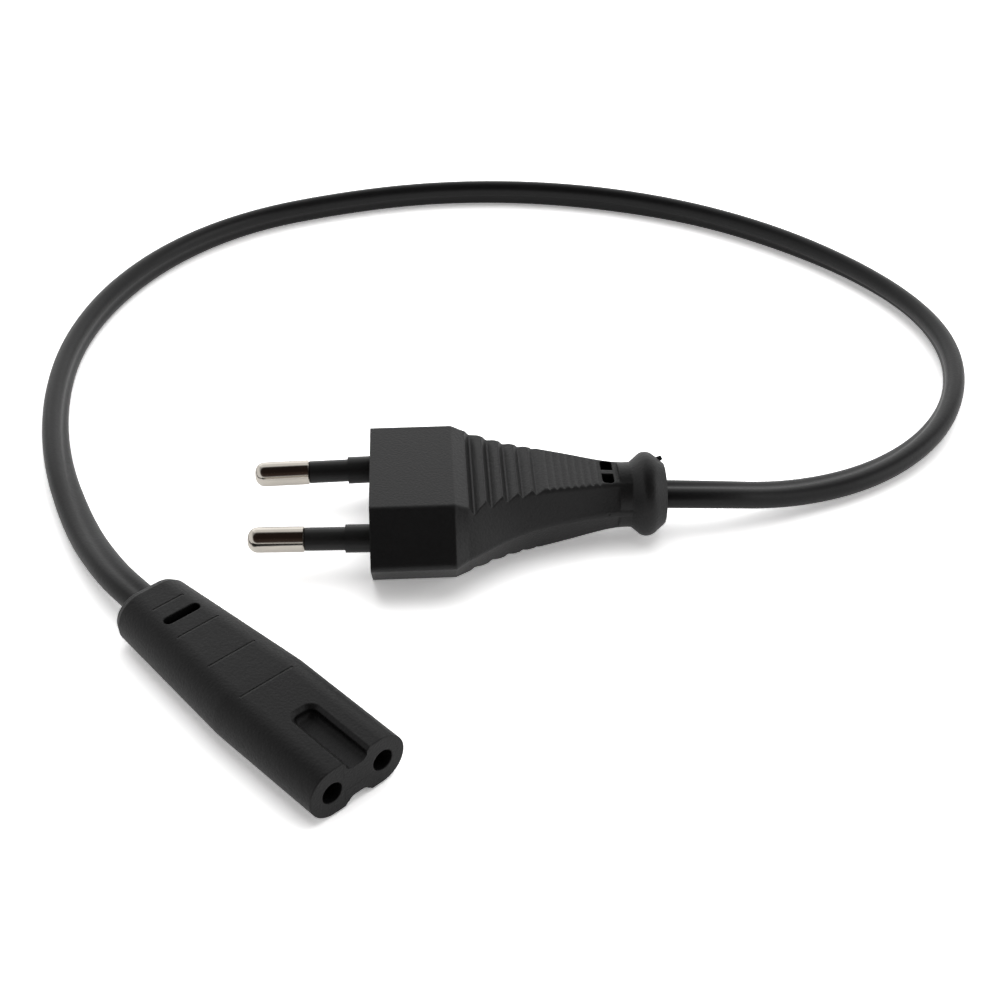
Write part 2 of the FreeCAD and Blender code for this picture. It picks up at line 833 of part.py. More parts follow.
def upright_stadium(sketch, x, half, radius):
    """A slot shape lying across the moulding."""
    first = len(sketch.Geometry)
    reach, size = value(half), value(radius)
    centre = FreeCAD.Vector(value(x), 0, 0)
    up = FreeCAD.Vector(0, reach, 0)
    out = FreeCAD.Vector(size, 0, 0)
    normal = FreeCAD.Vector(0, 0, 1)
    far = Part.Circle(centre + up, normal, size)
    near = Part.Circle(centre - up, normal, size)
    sketch.addGeometry(Part.ArcOfCircle(far, 0, math.pi), False)
    sketch.addGeometry(Part.LineSegment(centre + up - out, centre - up - out), False)
    sketch.addGeometry(Part.ArcOfCircle(near, math.pi, 2 * math.pi), False)
    sketch.addGeometry(Part.LineSegment(centre - up + out, centre + up + out), False)
    for i in range(4):
        sketch.addConstraint(Sketcher.Constraint("Tangent", first + i, 2, first + (i + 1) % 4, 1))
    pin_down(sketch, first, 3, x, half)
    pin_down(sketch, first + 2, 3, x, "-(" + half + ")")
    set_radius(sketch, first, radius)


def axis_cylinder(name, x, y, radius, length):
    """A cylinder along the connector, from x towards the mating face."""
    item = doc.addObject("Part::Cylinder", name)
    bind(item, "Radius", radius)
    bind(item, "Height", length)
    along = FreeCAD.Rotation(FreeCAD.Vector(0, 1, 0), 90)
    where = FreeCAD.Placement(FreeCAD.Vector(value(x), value(y), 0), along)
    item.Placement = frame_of("connector") * where
    return item


def make_carrier():
    """Hard carrier inside the connector: two lobes joined by a web, bored for the contacts."""
    lobes = []
    bores = []
    rear = "-(carrierFront + carrierLength)"
    for hand, word in HANDS:
        y = "{0} * socketSpacing / 2".format(hand)
        lobes.append(axis_cylinder("lobe_" + word, rear, y, "carrierLobe", "carrierLength"))
        bores.append(axis_cylinder("seat_" + word, rear + " - overhang", y, "contactRadius",
                                   "carrierLength + 2 * overhang"))
    web = doc.addObject("Part::Box", "carrier_web")
    bind(web, "Length", "carrierLength")
    bind(web, "Width", "socketSpacing")
    bind(web, "Height", "carrierWeb")
    corner = FreeCAD.Vector(value(rear), -value("socketSpacing / 2"), -value("carrierWeb / 2"))
    web.Placement = frame_of("connector") * FreeCAD.Placement(corner, FreeCAD.Rotation())
    solid = fused("carrier_solid", lobes + [web])
    return cut("contact_carrier", solid, bores), solid


def make_contact(hand, word):
    """Rolled spring contact: a slit tube for the pin, a shoulder and a crimp barrel."""
    body = new_body("socket_contact_" + word)
    profile = sketch_on(body, "XZ_Plane", "contact_profile_" + word)
    mouth = "-carrierFront"
    seat = "-(carrierFront + carrierLength)"
    barrel = seat + " - flangeLength"
    end = barrel + " - barrelLength"
    outline(profile, [
        (mouth, "contactRadius"),
        (seat, "contactRadius"),
        (seat, "contactRadius + contactShoulder"),
        (barrel, "contactRadius + contactShoulder"),
        (barrel, "barrelRadius"),
        (end, "barrelRadius"),
        (end, "strandRadius"),
        (end + " + strandDepth", "strandRadius"),
        (end + " + strandDepth", "0"),
        (mouth + " - contactDepth", "0"),
        (mouth + " - contactDepth", "contactBore"),
        (mouth, "contactBore"),
    ])
    revolve(body, profile, "contact_" + word)
    slit = sketch_on(body, "XY_Plane", "slit_plan_" + word)
    half = "slitWidth / 2"
    back = mouth + " - contactDepth + contactFloor"
    outline(slit, [(back, "-" + half), ("0", "-" + half), ("0", half), (back, half)])
    pocket(body, slit, "slit_" + word, "contactRadius * 2", backwards=True)
    centre = FreeCAD.Vector(0, hand * value("socketSpacing / 2"), 0)
    body.Placement = frame_of("connector") * FreeCAD.Placement(centre, FreeCAD.Rotation())
    return body


def make_connector_core(hand, word):
    """From the crimp of a contact to the end of the sheath."""
    connector = frame_of("connector")
    crimp = value(CONTACT_CRIMP)
    start = crimp - value("bareStrand")
    wide = hand * value("socketSpacing / 2")
    side = hand * value("coreRadius + coreGap / 2")
    sheath = -value("connectorSheathEnd")
    straight = value("coreStraight")
    points = [(start, wide), (start - straight, wide), (sheath + straight, side), (sheath, side)]
    points = [connector.multVec(FreeCAD.Vector(x, y, 0)) for x, y in points]
    bare = connector.multVec(FreeCAD.Vector(crimp + value("strandDepth"), wide, 0))
    return make_core("connector_" + word, bare, points)


# Whole lead


def make_plug(cord):
    """The plug's pieces by node name; its moulding has a cavity that its inner pieces fill.

    The cavity takes in the whole bore of each crimp, also beside its strands.
    """
    nodes = {}
    bridge, bridge_solid = make_bridge()
    nodes["plug_bridge"] = bridge
    inner = [bridge_solid]
    for hand, word in HANDS:
        nodes["plug_pin_" + word] = make_pin(hand, word)
        nodes["pin_sleeve_" + word] = make_sleeve(hand, word)
        core, strands, cover = make_plug_core(hand, word)
        nodes["plug_core_" + word] = core
        nodes["plug_strands_" + word] = strands
        inner += [nodes["plug_pin_" + word], strands, cover]
        inner.append(pin_cylinder("relief_" + word, hand, "-baseRelief", "baseRadius + baseRelief",
                                  "baseRelief * 2"))
        inner.append(pin_cylinder("crimp_" + word, hand, PIN_CRIMP + " - strandDepth", "strandRadius",
                                  "strandDepth"))
    nodes["plug_body"] = cut("plug_body", make_plug_outside(), inner + [cord])
    return nodes


def make_connector(cord):
    """The connector's pieces by node name, with a cavity of the same kind."""
    nodes = {}
    carrier, carrier_solid = make_carrier()
    nodes["contact_carrier"] = carrier
    inner = [carrier_solid]
    for hand, word in HANDS:
        nodes["socket_contact_" + word] = make_contact(hand, word)
        core, strands, cover = make_connector_core(hand, word)
        nodes["connector_core_" + word] = core
        nodes["connector_strands_" + word] = strands
        inner += [nodes["socket_contact_" + word], strands, cover]
        inner.append(axis_cylinder("contact_crimp_" + word, CONTACT_CRIMP,
                                   "{0} * socketSpacing / 2".format(hand), "strandRadius", "strandDepth"))
    nodes["connector_housing"] = cut("connector_housing", make_connector_outside(), inner + [cord])
    return nodes


def check(nodes):
    """Stop when a feature failed or a piece isn't one sound solid."""
    for item in doc.Objects:
        if "Invalid" in item.State or "Error" in item.State:
            raise ValueError(item.Name + " failed")
    for name, item in nodes.items():
        shape = item.Shape
        if shape.isNull() or not shape.isValid() or len(shape.Solids) != 1:
            raise ValueError(name + " isn't one sound solid")


def main():
    os.makedirs("parts", exist_ok=True)
    cord = make_cord()
    nodes = {"cord": cord}
    nodes.update(make_plug(cord))
    nodes.update(make_connector(cord))
    doc.recompute()
    for name, item in nodes.items():
        item.Label = name
    check(nodes)
    for name, item in nodes.items():
        item.Shape.exportStep("parts/" + name + ".step")
        print(name, round(item.Shape.Volume, 2))


main()
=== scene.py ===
import math

import bmesh
import bpy
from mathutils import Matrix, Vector


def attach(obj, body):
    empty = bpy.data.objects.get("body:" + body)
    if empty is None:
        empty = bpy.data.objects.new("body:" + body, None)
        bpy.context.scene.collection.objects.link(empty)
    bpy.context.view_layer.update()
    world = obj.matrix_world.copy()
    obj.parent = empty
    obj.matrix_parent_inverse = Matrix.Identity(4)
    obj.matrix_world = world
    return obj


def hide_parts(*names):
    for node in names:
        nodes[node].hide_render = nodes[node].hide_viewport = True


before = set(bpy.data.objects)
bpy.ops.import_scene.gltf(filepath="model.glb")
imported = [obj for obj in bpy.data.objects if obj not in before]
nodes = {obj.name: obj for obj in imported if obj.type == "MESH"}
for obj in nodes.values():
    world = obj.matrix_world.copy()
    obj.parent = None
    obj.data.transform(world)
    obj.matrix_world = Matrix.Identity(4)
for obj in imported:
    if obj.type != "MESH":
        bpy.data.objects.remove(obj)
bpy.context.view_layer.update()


# White table and studio light
# The lead lies on a white table in a light tent. The tent's walls are bright, its
# roof is dimmer, and a dark opening reaches from the camera's side to overhead.
TABLE_SIZE = 1.6
TABLE_COLOUR = (0.86, 0.86, 0.86, 1)
TABLE_ROUGHNESS = 0.6
TABLE_SHINE = 0.2
# What the camera sees of the table beyond its plain light: more of that light, and a glow
TABLE_GAIN = 0.8
TABLE_LIFT = 0.25
# Light of the walls and of the roof, and the heights between which one turns into the other
TENT_LIGHT = (0.85, 0.35)
TENT_HEIGHTS = (0.45, 0.8)
# The opening: the way to its middle, and the cosines of its soft edge from outside to inside
OPENING_WAY = Vector((0.392, -0.379, 0.839))
OPENING_EDGE = (0.58, 0.76)
OPENING_COLOUR = (0.050, 0.034, 0.028, 1)
# The level way in which the camera looks
LOOK = Vector((-0.7193, 0.6947, 0))
LAMPS = [
    # name, distance along the view, distance to its right, height, size, watts
    ("back_lamp", 0.85, 0.00, 0.55, 1.5, 3.6),
    ("top_lamp", 0.10, 0.10, 0.95, 0.9, 4.9),
    ("right_lamp", -0.05, 0.80, 0.30, 0.6, 1.1),
]


def add_node(tree, kind, **settings):
    """Adds a shader node, its properties and the constants on its sockets."""
    node = tree.nodes.new(kind)
    for name, value in settings.items():
        if name in node.bl_rna.properties:
            setattr(node, name, value)
        else:
            node.inputs[name.replace("_", " ")].default_value = value
    return node


def add_range(tree, given=(0, 1), result=(0, 1), **settings):
    """Adds a Map Range node from one pair of values to another."""
    node = add_node(tree, "ShaderNodeMapRange", **settings)
    names = ("From Min", "From Max", "To Min", "To Max")
    for name, value in zip(names, (*given, *result)):
        node.inputs[name].default_value = value
    return node


def new_material(name):
    """A new node material and its node tree, still empty."""
    material = bpy.data.materials.new(name)
    material.use_nodes = True
    material.node_tree.nodes.clear()
    return material, material.node_tree


def make_table_material():
    """White board, shown as bright as a well lit backdrop but with the lead's shadow."""
    material, tree = new_material("white_table")
    path = add_node(tree, "ShaderNodeLightPath")
    shiny = add_node(tree, "ShaderNodeMath", operation="MAXIMUM")
    seen = add_node(tree, "ShaderNodeMath", operation="MAXIMUM")
    lift = add_node(tree, "ShaderNodeMath", operation="MULTIPLY")
    lift.inputs[1].default_value = TABLE_LIFT
    board = add_node(tree, "ShaderNodeBsdfPrincipled", Roughness=TABLE_ROUGHNESS)
    board.inputs["Base Color"].default_value = TABLE_COLOUR
    board.inputs["Specular IOR Level"].default_value = TABLE_SHINE
    share = add_node(tree, "ShaderNodeMath", operation="MULTIPLY")
    share.inputs[1].default_value = TABLE_GAIN
    gain = add_node(tree, "ShaderNodeBsdfDiffuse")
    glow = add_node(tree, "ShaderNodeEmission")
    brighter = add_node(tree, "ShaderNodeAddShader")
    whole = add_node(tree, "ShaderNodeAddShader")
    output = add_node(tree, "ShaderNodeOutputMaterial")
    link = tree.links.new
    link(path.outputs["Is Glossy Ray"], shiny.inputs[0])
    link(path.outputs["Is Transmission Ray"], shiny.inputs[1])
    link(path.outputs["Is Camera Ray"], seen.inputs[0])
    link(shiny.outputs[0], seen.inputs[1])
    link(seen.outputs[0], lift.inputs[0])
    link(path.outputs["Is Camera Ray"], share.inputs[0])
    link(share.outputs[0], gain.inputs["Color"])
    link(lift.outputs[0], glow.inputs["Strength"])
    link(gain.outputs[0], brighter.inputs[0])
    link(glow.outputs[0], brighter.inputs[1])
    link(board.outputs[0], whole.inputs[0])
    link(brighter.outputs[0], whole.inputs[1])
    link(whole.outputs[0], output.inputs["Surface"])
    return material


def make_tent():
    """The tent's light by direction: walls, roof and opening, but plain white to the camera."""
    world = bpy.data.worlds.new("light_tent")
    world.use_nodes = True
    tree = world.node_tree
    tree.nodes.clear()
    place = add_node(tree, "ShaderNodeTexCoord")
    parts = add_node(tree, "ShaderNodeSeparateXYZ")
    tent = add_range(tree, TENT_HEIGHTS, TENT_LIGHT, interpolation_type="SMOOTHSTEP")
    towards = add_node(tree, "ShaderNodeVectorMath", operation="DOT_PRODUCT")
    towards.inputs[1].default_value = OPENING_WAY
    opening = add_range(tree, OPENING_EDGE, interpolation_type="SMOOTHSTEP")
    shade = add_node(tree, "ShaderNodeMix", data_type="RGBA")
    shade.inputs["A"].default_value = (1, 1, 1, 1)
    shade.inputs["B"].default_value = OPENING_COLOUR
    path = add_node(tree, "ShaderNodeLightPath")
    away = add_node(tree, "ShaderNodeMath", operation="SUBTRACT", use_clamp=True)
    lightest = add_node(tree, "ShaderNodeMath", operation="MAXIMUM")
    light = add_node(tree, "ShaderNodeBackground")
    output = add_node(tree, "ShaderNodeOutputWorld")
    link = tree.links.new
    link(place.outputs["Generated"], parts.inputs[0])
    link(parts.outputs["Z"], tent.inputs["Value"])
    link(place.outputs["Generated"], towards.inputs[0])
    link(towards.outputs["Value"], opening.inputs["Value"])
    link(opening.outputs["Result"], away.inputs[0])
    link(path.outputs["Is Camera Ray"], away.inputs[1])
    link(away.outputs[0], shade.inputs["Factor"])
    link(shade.outputs["Result"], light.inputs["Color"])
    link(tent.outputs["Result"], lightest.inputs[0])
    link(path.outputs["Is Camera Ray"], lightest.inputs[1])
    link(lightest.outputs[0], light.inputs["Strength"])
    link(light.outputs[0], output.inputs["Surface"])
    return world


def hang_lamps():
    """Square lamps round the lead, turned to it. The top one doesn't show in its gloss."""
    to_right = LOOK.cross(Vector((0, 0, 1)))
    for name, ahead, aside, height, size, watts in LAMPS:
        place = LOOK * ahead + to_right * aside + Vector((0, 0, height))
        bpy.ops.object.light_add(type="AREA", location=place)
        lamp = bpy.context.object
        lamp.name = name
        lamp.data.energy = watts
        lamp.data.size = size
        lamp.visible_glossy = name != "top_lamp"
        lamp.rotation_mode = "QUATERNION"
        lamp.rotation_quaternion = (-place).to_track_quat("-Z", "Y")


scene = bpy.context.scene
bpy.ops.object.select_all(action="DESELECT")
bpy.ops.mesh.primitive_plane_add(size=TABLE_SIZE, location=(0, 0, 0))
table = bpy.context.object
table.name = "white_table"
table.data.materials.append(make_table_material())
scene.world = make_tent()
hang_lamps()
scene.view_settings.view_transform = "Standard"


# Camera
# It stands in front of the connector and looks down over the plug to the loop,
# from about 0.25 m away. Its pitch and heading are in degrees.
CAMERA_PLACE = (0.1515, -0.1247, 0.1579)
CAMERA_PITCH = 53.93
CAMERA_HEADING = 46.0
CAMERA_LENS = 57.84
CAMERA_SENSOR = 36
CAMERA_NEAREST = 0.01

bpy.ops.object.camera_add(location=CAMERA_PLACE)
camera = bpy.context.object
camera.rotation_euler = (math.radians(CAMERA_PITCH), 0, math.radians(CAMERA_HEADING))
camera.data.lens = CAMERA_LENS
camera.data.sensor_width = CAMERA_SENSOR
camera.data.clip_start = CAMERA_NEAREST
scene.camera = camera


# Flat cord
# Two wires side by side in one sheath of soft black vinyl, 5.4 by 3.4 mm, with a
# slight waist between them. It leaves the connector lying flat, stands nearly on its
# edge round the loop and lies down again before it goes into the plug.
MM = 0.001
CORD_WIDTH = 5.4 * MM
CORD_HEIGHT = 3.4 * MM
CORD_WAIST = 0.15 * MM
# Steps between control points, round each end of the section and over each waist
CORD_STEPS = 16
CORD_END_STEPS = 12
CORD_WAIST_STEPS = 8
CORD_COLOUR = (0.0055, 0.0055, 0.0058, 1)
# Each row is a control point and the cord's turn there: 0 stands on edge, 90 lies flat
CORD_ROUTE = [
    ((-0.0143, -0.0345, 0.0043), -90),
    ((-0.0213, -0.0345, 0.0043), -90),
    ((-0.0300, -0.0336, 0.0036), -86),
    ((-0.0434, -0.0303, 0.0023), -72),
    ((-0.0620, -0.0232, 0.0026), -38),
    ((-0.0792, -0.0129, 0.0028), -17),
    ((-0.0942, 0.0002, 0.0028), 0),
    ((-0.1056, 0.0167, 0.0028), 3),
    ((-0.1122, 0.0357, 0.0028), 12),
    ((-0.1125, 0.0555, 0.0028), 23),
    ((-0.1060, 0.0744, 0.0028), 21),
    ((-0.0965, 0.0919, 0.0028), 22),
    ((-0.0832, 0.1069, 0.0028), 18),
    ((-0.0671, 0.1186, 0.0028), 12),
    ((-0.0488, 0.1270, 0.0028), 23),
    ((-0.0292, 0.1309, 0.0028), 24),
    ((-0.0092, 0.1310, 0.0027), 37),
    ((0.0085, 0.1268, 0.0027), 39),
    ((0.0222, 0.1180, 0.0028), 14),
    ((0.0319, 0.1053, 0.0028), -10),
    ((0.0371, 0.0898, 0.0025), -50),
    ((0.0364, 0.0738, 0.0021), -74),
    ((0.0310, 0.0584, 0.0030), -85),
    ((0.0240, 0.0437, 0.0070), -88),
    ((0.0174, 0.0371, 0.0070), -90),
]
# Clouds and specks to a metre of plastic, and how far they and the grain change its finish
CLOUDS_PER_METRE = 180.0
SPECKS_PER_METRE = 420.0
SPECK_EDGE = (0.085, 0.035)
SPECK_COLOUR = (0.16, 0.16, 0.16, 1)
CLOUD_SHADES = (0.72, 1.28)
GRAIN_ROUGHNESS = (-0.08, 0.08)


def spline_points(controls):
    """Points along one smooth NURBS spline through space."""
    curve = bpy.data.curves.new("cord_line", "CURVE")
    curve.dimensions = "3D"
    curve.resolution_u = CORD_STEPS
    spline = curve.splines.new("NURBS")
    spline.points.add(len(controls) - 1)
    for point, control in zip(spline.points, controls):
        point.co = (*control, 1)
    spline.order_u = 3
    spline.use_endpoint_u = True
    line = bpy.data.objects.new("cord_line", curve)
    mesh = bpy.data.meshes.new_from_object(line)
    points = [vertex.co.copy() for vertex in mesh.vertices]
    bpy.data.objects.remove(line)
    return points


def edge_controls(route):
    """The route moved sideways by half the cord's width, turned as it goes."""
    controls = []
    for number, (place, turn) in enumerate(route):
        before = Vector(route[max(number - 1, 0)][0])
        after = Vector(route[min(number + 1, len(route) - 1)][0])
        ahead = after - before
        inward = Vector((ahead.y, -ahead.x, 0)).normalized()
        angle = math.radians(turn)
        side = Vector((0, 0, math.cos(angle))) + inward * math.sin(angle)
        controls.append(Vector(place) + side * CORD_WIDTH / 2)
    return controls


def section_points():
    """The section's outline: a round side for each wire and a slight waist between."""
    radius = CORD_HEIGHT / 2
    flat = CORD_WIDTH / 2 - radius
    points = []
    for end in (1, -1):
        for step in range(CORD_END_STEPS + 1):
            angle = math.pi * (step / CORD_END_STEPS - 0.5)
            across = flat + math.cos(angle) * radius
            points.append((end * across, end * math.sin(angle) * radius))
        for step in range(1, CORD_WAIST_STEPS):
            share = 1 - 2 * step / CORD_WAIST_STEPS
            dip = CORD_WAIST * (1 + math.cos(math.pi * share)) / 2
            points.append((end * flat * share, end * (radius - dip)))
    return points


def make_cord_mesh(line, edge):
    """A closed tube of the oval section, with its length and girth as its UV map."""
    tube = bmesh.new()
    map_layer = tube.loops.layers.uv.new("UVMap")
    section = section_points()
    rings = []
    lengths = []
    travelled = 0.0
    for number, place in enumerate(line):
        before = line[max(number - 1, 0)]
        after = line[min(number + 1, len(line) - 1)]
        ahead = (after - before).normalized()
        wide = edge[number] - place
        wide = (wide - ahead * wide.dot(ahead)).normalized()
        thick = ahead.cross(wide)
        rings.append([tube.verts.new(place + wide * across + thick * up) for across, up in section])
        travelled += (place - before).length
        lengths.append(travelled)
    for number in range(len(rings) - 1):
        ring = rings[number]
        next_ring = rings[number + 1]
        for step in range(len(section)):
            following = (step + 1) % len(section)
            corners = (ring[step], ring[following], next_ring[following], next_ring[step])
            face = tube.faces.new(corners)
            face.smooth = True
            girths = (step, step + 1, step + 1, step)
            stages = (number, number, number + 1, number + 1)
            for loop, girth, stage in zip(face.loops, girths, stages):
                loop[map_layer].uv = (lengths[stage] / CORD_WIDTH, girth / len(section))
    tube.faces.new(reversed(rings[0]))
    tube.faces.new(rings[-1])
    bmesh.ops.recalc_face_normals(tube, faces=tube.faces)
    mesh = bpy.data.meshes.new("flat_cord")
    tube.to_mesh(mesh)
    tube.free()
    return mesh


def new_group(name, inputs, outputs):
    """A new shader node group with named sockets, and its input and output nodes."""
    group = bpy.data.node_groups.new(name, "ShaderNodeTree")
    for way, sockets in (("INPUT", inputs), ("OUTPUT", outputs)):
        for socket, kind in sockets.items():
            group.interface.new_socket(socket, in_out=way, socket_type="NodeSocket" + kind)
    given = add_node(group, "NodeGroupInput")
    result = add_node(group, "NodeGroupOutput")
    return group, given, result


def make_grain_group():
    """Matt moulded plastic: fine grain, faint clouding and a few pale specks."""
    inputs = {"Vector": "Vector", "Colour": "Color"}
    inputs.update({"Grain size": "Float", "Roughness": "Float", "Specks": "Float"})
    outputs = {"Colour": "Color", "Roughness": "Float", "Height": "Float"}
    group, given, result = new_group("moulded_grain", inputs, outputs)
    per_metre = add_node(group, "ShaderNodeMath", operation="DIVIDE")
    per_metre.inputs[0].default_value = 1.0
    grain = add_node(group, "ShaderNodeTexNoise", Detail=2.0, Roughness=0.55)
    clouds = add_node(group, "ShaderNodeTexNoise", Scale=CLOUDS_PER_METRE, Detail=3.0)
    dust = add_node(group, "ShaderNodeTexVoronoi", Scale=SPECKS_PER_METRE)
    speck = add_range(group, SPECK_EDGE, interpolation_type="SMOOTHSTEP")
    sparse = add_node(group, "ShaderNodeMath", operation="LESS_THAN")
    shade = add_range(group, result=CLOUD_SHADES)
    tinted = add_node(group, "ShaderNodeVectorMath", operation="SCALE")
    dusty = add_node(group, "ShaderNodeMix", data_type="RGBA")
    dusty.inputs["B"].default_value = SPECK_COLOUR
    shown = add_node(group, "ShaderNodeMath", operation="MULTIPLY")
    rough = add_range(group, result=GRAIN_ROUGHNESS)
    summed = add_node(group, "ShaderNodeMath", operation="ADD")
    link = group.links.new
    link(given.outputs["Grain size"], per_metre.inputs[1])
    link(given.outputs["Vector"], grain.inputs["Vector"])
    link(per_metre.outputs[0], grain.inputs["Scale"])
    link(given.outputs["Vector"], clouds.inputs["Vector"])
    link(given.outputs["Vector"], dust.inputs["Vector"])
    link(dust.outputs["Distance"], speck.inputs["Value"])
    link(dust.outputs["Color"], sparse.inputs[0])
    link(given.outputs["Specks"], sparse.inputs[1])
    link(speck.outputs["Result"], shown.inputs[0])
    link(sparse.outputs[0], shown.inputs[1])
    link(clouds.outputs["Fac"], shade.inputs["Value"])
    link(given.outputs["Colour"], tinted.inputs[0])
    link(shade.outputs["Result"], tinted.inputs["Scale"])
    link(shown.outputs[0], dusty.inputs["Factor"])
    link(tinted.outputs[0], dusty.inputs["A"])
    link(dusty.outputs["Result"], result.inputs["Colour"])
    link(grain.outputs["Fac"], rough.inputs["Value"])
    link(rough.outputs["Result"], summed.inputs[0])
    link(given.outputs["Roughness"], summed.inputs[1])
    link(summed.outputs[0], result.inputs["Roughness"])
    link(grain.outputs["Fac"], result.inputs["Height"])
    return group


grain_group = make_grain_group()


def make_moulded(name, colour, roughness, grain_size, specks, bump, edge=0.0, shine=0.3):
    """A moulded plastic with the shared grain, on Object coordinates, and rounded edges."""
    material, tree = new_material(name)
    place = add_node(tree, "ShaderNodeTexCoord")
    grain = add_node(tree, "ShaderNodeGroup")
    grain.node_tree = grain_group
    grain.inputs["Colour"].default_value = colour
    grain.inputs["Grain size"].default_value = grain_size
    grain.inputs["Roughness"].default_value = roughness
    grain.inputs["Specks"].default_value = specks
    relief = add_node(tree, "ShaderNodeBump", name="Relief", Strength=0.6, Distance=bump)
    surface = add_node(tree, "ShaderNodeBsdfPrincipled", name="Surface")
    surface.inputs["Specular IOR Level"].default_value = shine
    output = add_node(tree, "ShaderNodeOutputMaterial")
    link = tree.links.new
    link(place.outputs["Object"], grain.inputs["Vector"])
    link(grain.outputs["Colour"], surface.inputs["Base Color"])
    link(grain.outputs["Roughness"], surface.inputs["Roughness"])
    link(grain.outputs["Height"], relief.inputs["Height"])
    link(relief.outputs["Normal"], surface.inputs["Normal"])
    link(surface.outputs[0], output.inputs["Surface"])
    if edge:
        rounded = add_node(tree, "ShaderNodeBevel", samples=4, Radius=edge)
        link(rounded.outputs["Normal"], relief.inputs["Normal"])
    return material


def wear(piece, material):
    """Gives a piece one finish in place of whatever it had."""
    piece.data.materials.clear()
    piece.data.materials.append(material)


cord_line = spline_points([place for place, turn in CORD_ROUTE])
cord_edge = spline_points(edge_controls(CORD_ROUTE))
cord_vinyl = make_moulded(
    "cord_vinyl",
    CORD_COLOUR,
    roughness=0.38,
    grain_size=0.5 * MM,
    specks=0.02,
    bump=0.04 * MM,
    shine=0.27,
)
flat_cord = bpy.data.objects.new("flat_cord", make_cord_mesh(cord_line, cord_edge))
scene.collection.objects.link(flat_cord)
wear(flat_cord, cord_vinyl)
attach(flat_cord, "root")
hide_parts("cord")


# Connector moulding
# Soft black vinyl, cast round the cord's end in a mould with an eroded matt surface.
# Plain lines that stand up in the mould leave fine grooves across the moulding's top.
# The grooves are painted near black inside as shade.
MOULDING_COLOUR = (0.0055, 0.0055, 0.0057, 1)
MOULDING_GRAIN = {
    "roughness": 0.46,
    "grain_size": 0.4 * MM,
    "specks": 0.035,
    "bump": 0.09 * MM,
}
CONNECTOR_SHINE = 0.24
CONNECTOR_EDGE = 0.3 * MM
LINES_CENTRE = -34.5 * MM
LINES_HEIGHT = 6.0 * MM
LINE_WIDTH = 0.5 * MM
LINE_DEPTH = 0.4 * MM
# Painted shade: near black put into the colour at the bottom of a groove or of the dent
MARK_PAINTED_SHADE = (0.001, 0.001, 0.001, 1)
# Place along the connector and half length of each line, in millimetres
LINES = [(12.2, 4.55), (4.2, 4.05), (-3.8, 3.65), (-11.3, 2.75)]


def add_depth(group, place, centre, reach):
    """How far a coordinate lies inside a band round a centre, and below 0 outside it."""
    offset = add_node(group, "ShaderNodeMath", operation="SUBTRACT")
    away = add_node(group, "ShaderNodeMath", operation="ABSOLUTE")
    depth = add_node(group, "ShaderNodeMath", operation="SUBTRACT")
    offset.inputs[1].default_value = centre
    depth.inputs[0].default_value = reach
    group.links.new(place, offset.inputs[0])
    group.links.new(offset.outputs[0], away.inputs[0])
    group.links.new(away.outputs[0], depth.inputs[1])
    return depth.outputs[0]


def join_values(group, operation, first, second):
    """One value worked out from two."""
    joined = add_node(group, "ShaderNodeMath", operation=operation)
    group.links.new(first, joined.inputs[0])
    group.links.new(second, joined.inputs[1])
    return joined.outputs[0]


def make_lines_group():
    """How deep a point lies in one of the engraved lines, from 0 to 1."""
    group, given, result = new_group("engraved_lines", {"Vector": "Vector"}, {"Depth": "Float"})
    link = group.links.new
    place = add_node(group, "ShaderNodeSeparateXYZ")
    link(given.outputs["Vector"], place.inputs[0])
    insides = []
    for along, half in LINES:
        lengthwise = add_depth(group, place.outputs["X"], along * MM, LINE_WIDTH / 2)
        crosswise = add_depth(group, place.outputs["Y"], LINES_CENTRE, half * MM)
        insides.append(join_values(group, "MINIMUM", lengthwise, crosswise))
    deepest = insides[0]
    for inside in insides[1:]:
        deepest = join_values(group, "MAXIMUM", deepest, inside)
    wall = add_range(group, (0.0, LINE_WIDTH / 2), interpolation_type="SMOOTHSTEP")
    top = add_node(group, "ShaderNodeMath", operation="GREATER_THAN")
    top.inputs[1].default_value = LINES_HEIGHT
    link(deepest, wall.inputs["Value"])
    link(place.outputs["Z"], top.inputs[0])
    both = join_values(group, "MULTIPLY", wall.outputs["Result"], top.outputs[0])
    link(both, result.inputs["Depth"])
    return group


def engrave(material, marks, depth):
    """Puts marks, given by a group that tells their depth, under a finish's grain, with painted
    shade at their bottom.
    """
    tree = material.node_tree
    place = add_node(tree, "ShaderNodeTexCoord")
    mark = add_node(tree, "ShaderNodeGroup")
    mark.node_tree = marks
    cut = add_node(tree, "ShaderNodeBump", Strength=1.0, Distance=depth)
    cut.invert = True
    # Painted shade: the colour runs to near black as a mark gets deeper
    painted_shade = add_node(tree, "ShaderNodeMix", data_type="RGBA")
    painted_shade.inputs["B"].default_value = MARK_PAINTED_SHADE
    colour = tree.nodes["Surface"].inputs["Base Color"]
    relief = tree.nodes["Relief"]
    link = tree.links.new
    link(colour.links[0].from_socket, painted_shade.inputs["A"])
    link(mark.outputs["Depth"], painted_shade.inputs["Factor"])
    link(painted_shade.outputs["Result"], colour)
    link(place.outputs["Object"], mark.inputs["Vector"])
    link(mark.outputs["Depth"], cut.inputs["Height"])
    link(relief.inputs["Normal"].links[0].from_socket, cut.inputs["Normal"])
    link(cut.outputs["Normal"], relief.inputs["Normal"])


connector_moulding = make_moulded(
    "connector_moulding",
    MOULDING_COLOUR,
    edge=CONNECTOR_EDGE,
    shine=CONNECTOR_SHINE,
    **MOULDING_GRAIN,
)
engrave(connector_moulding, make_lines_group(), LINE_DEPTH)
wear(nodes["connector_housing"], connector_moulding)


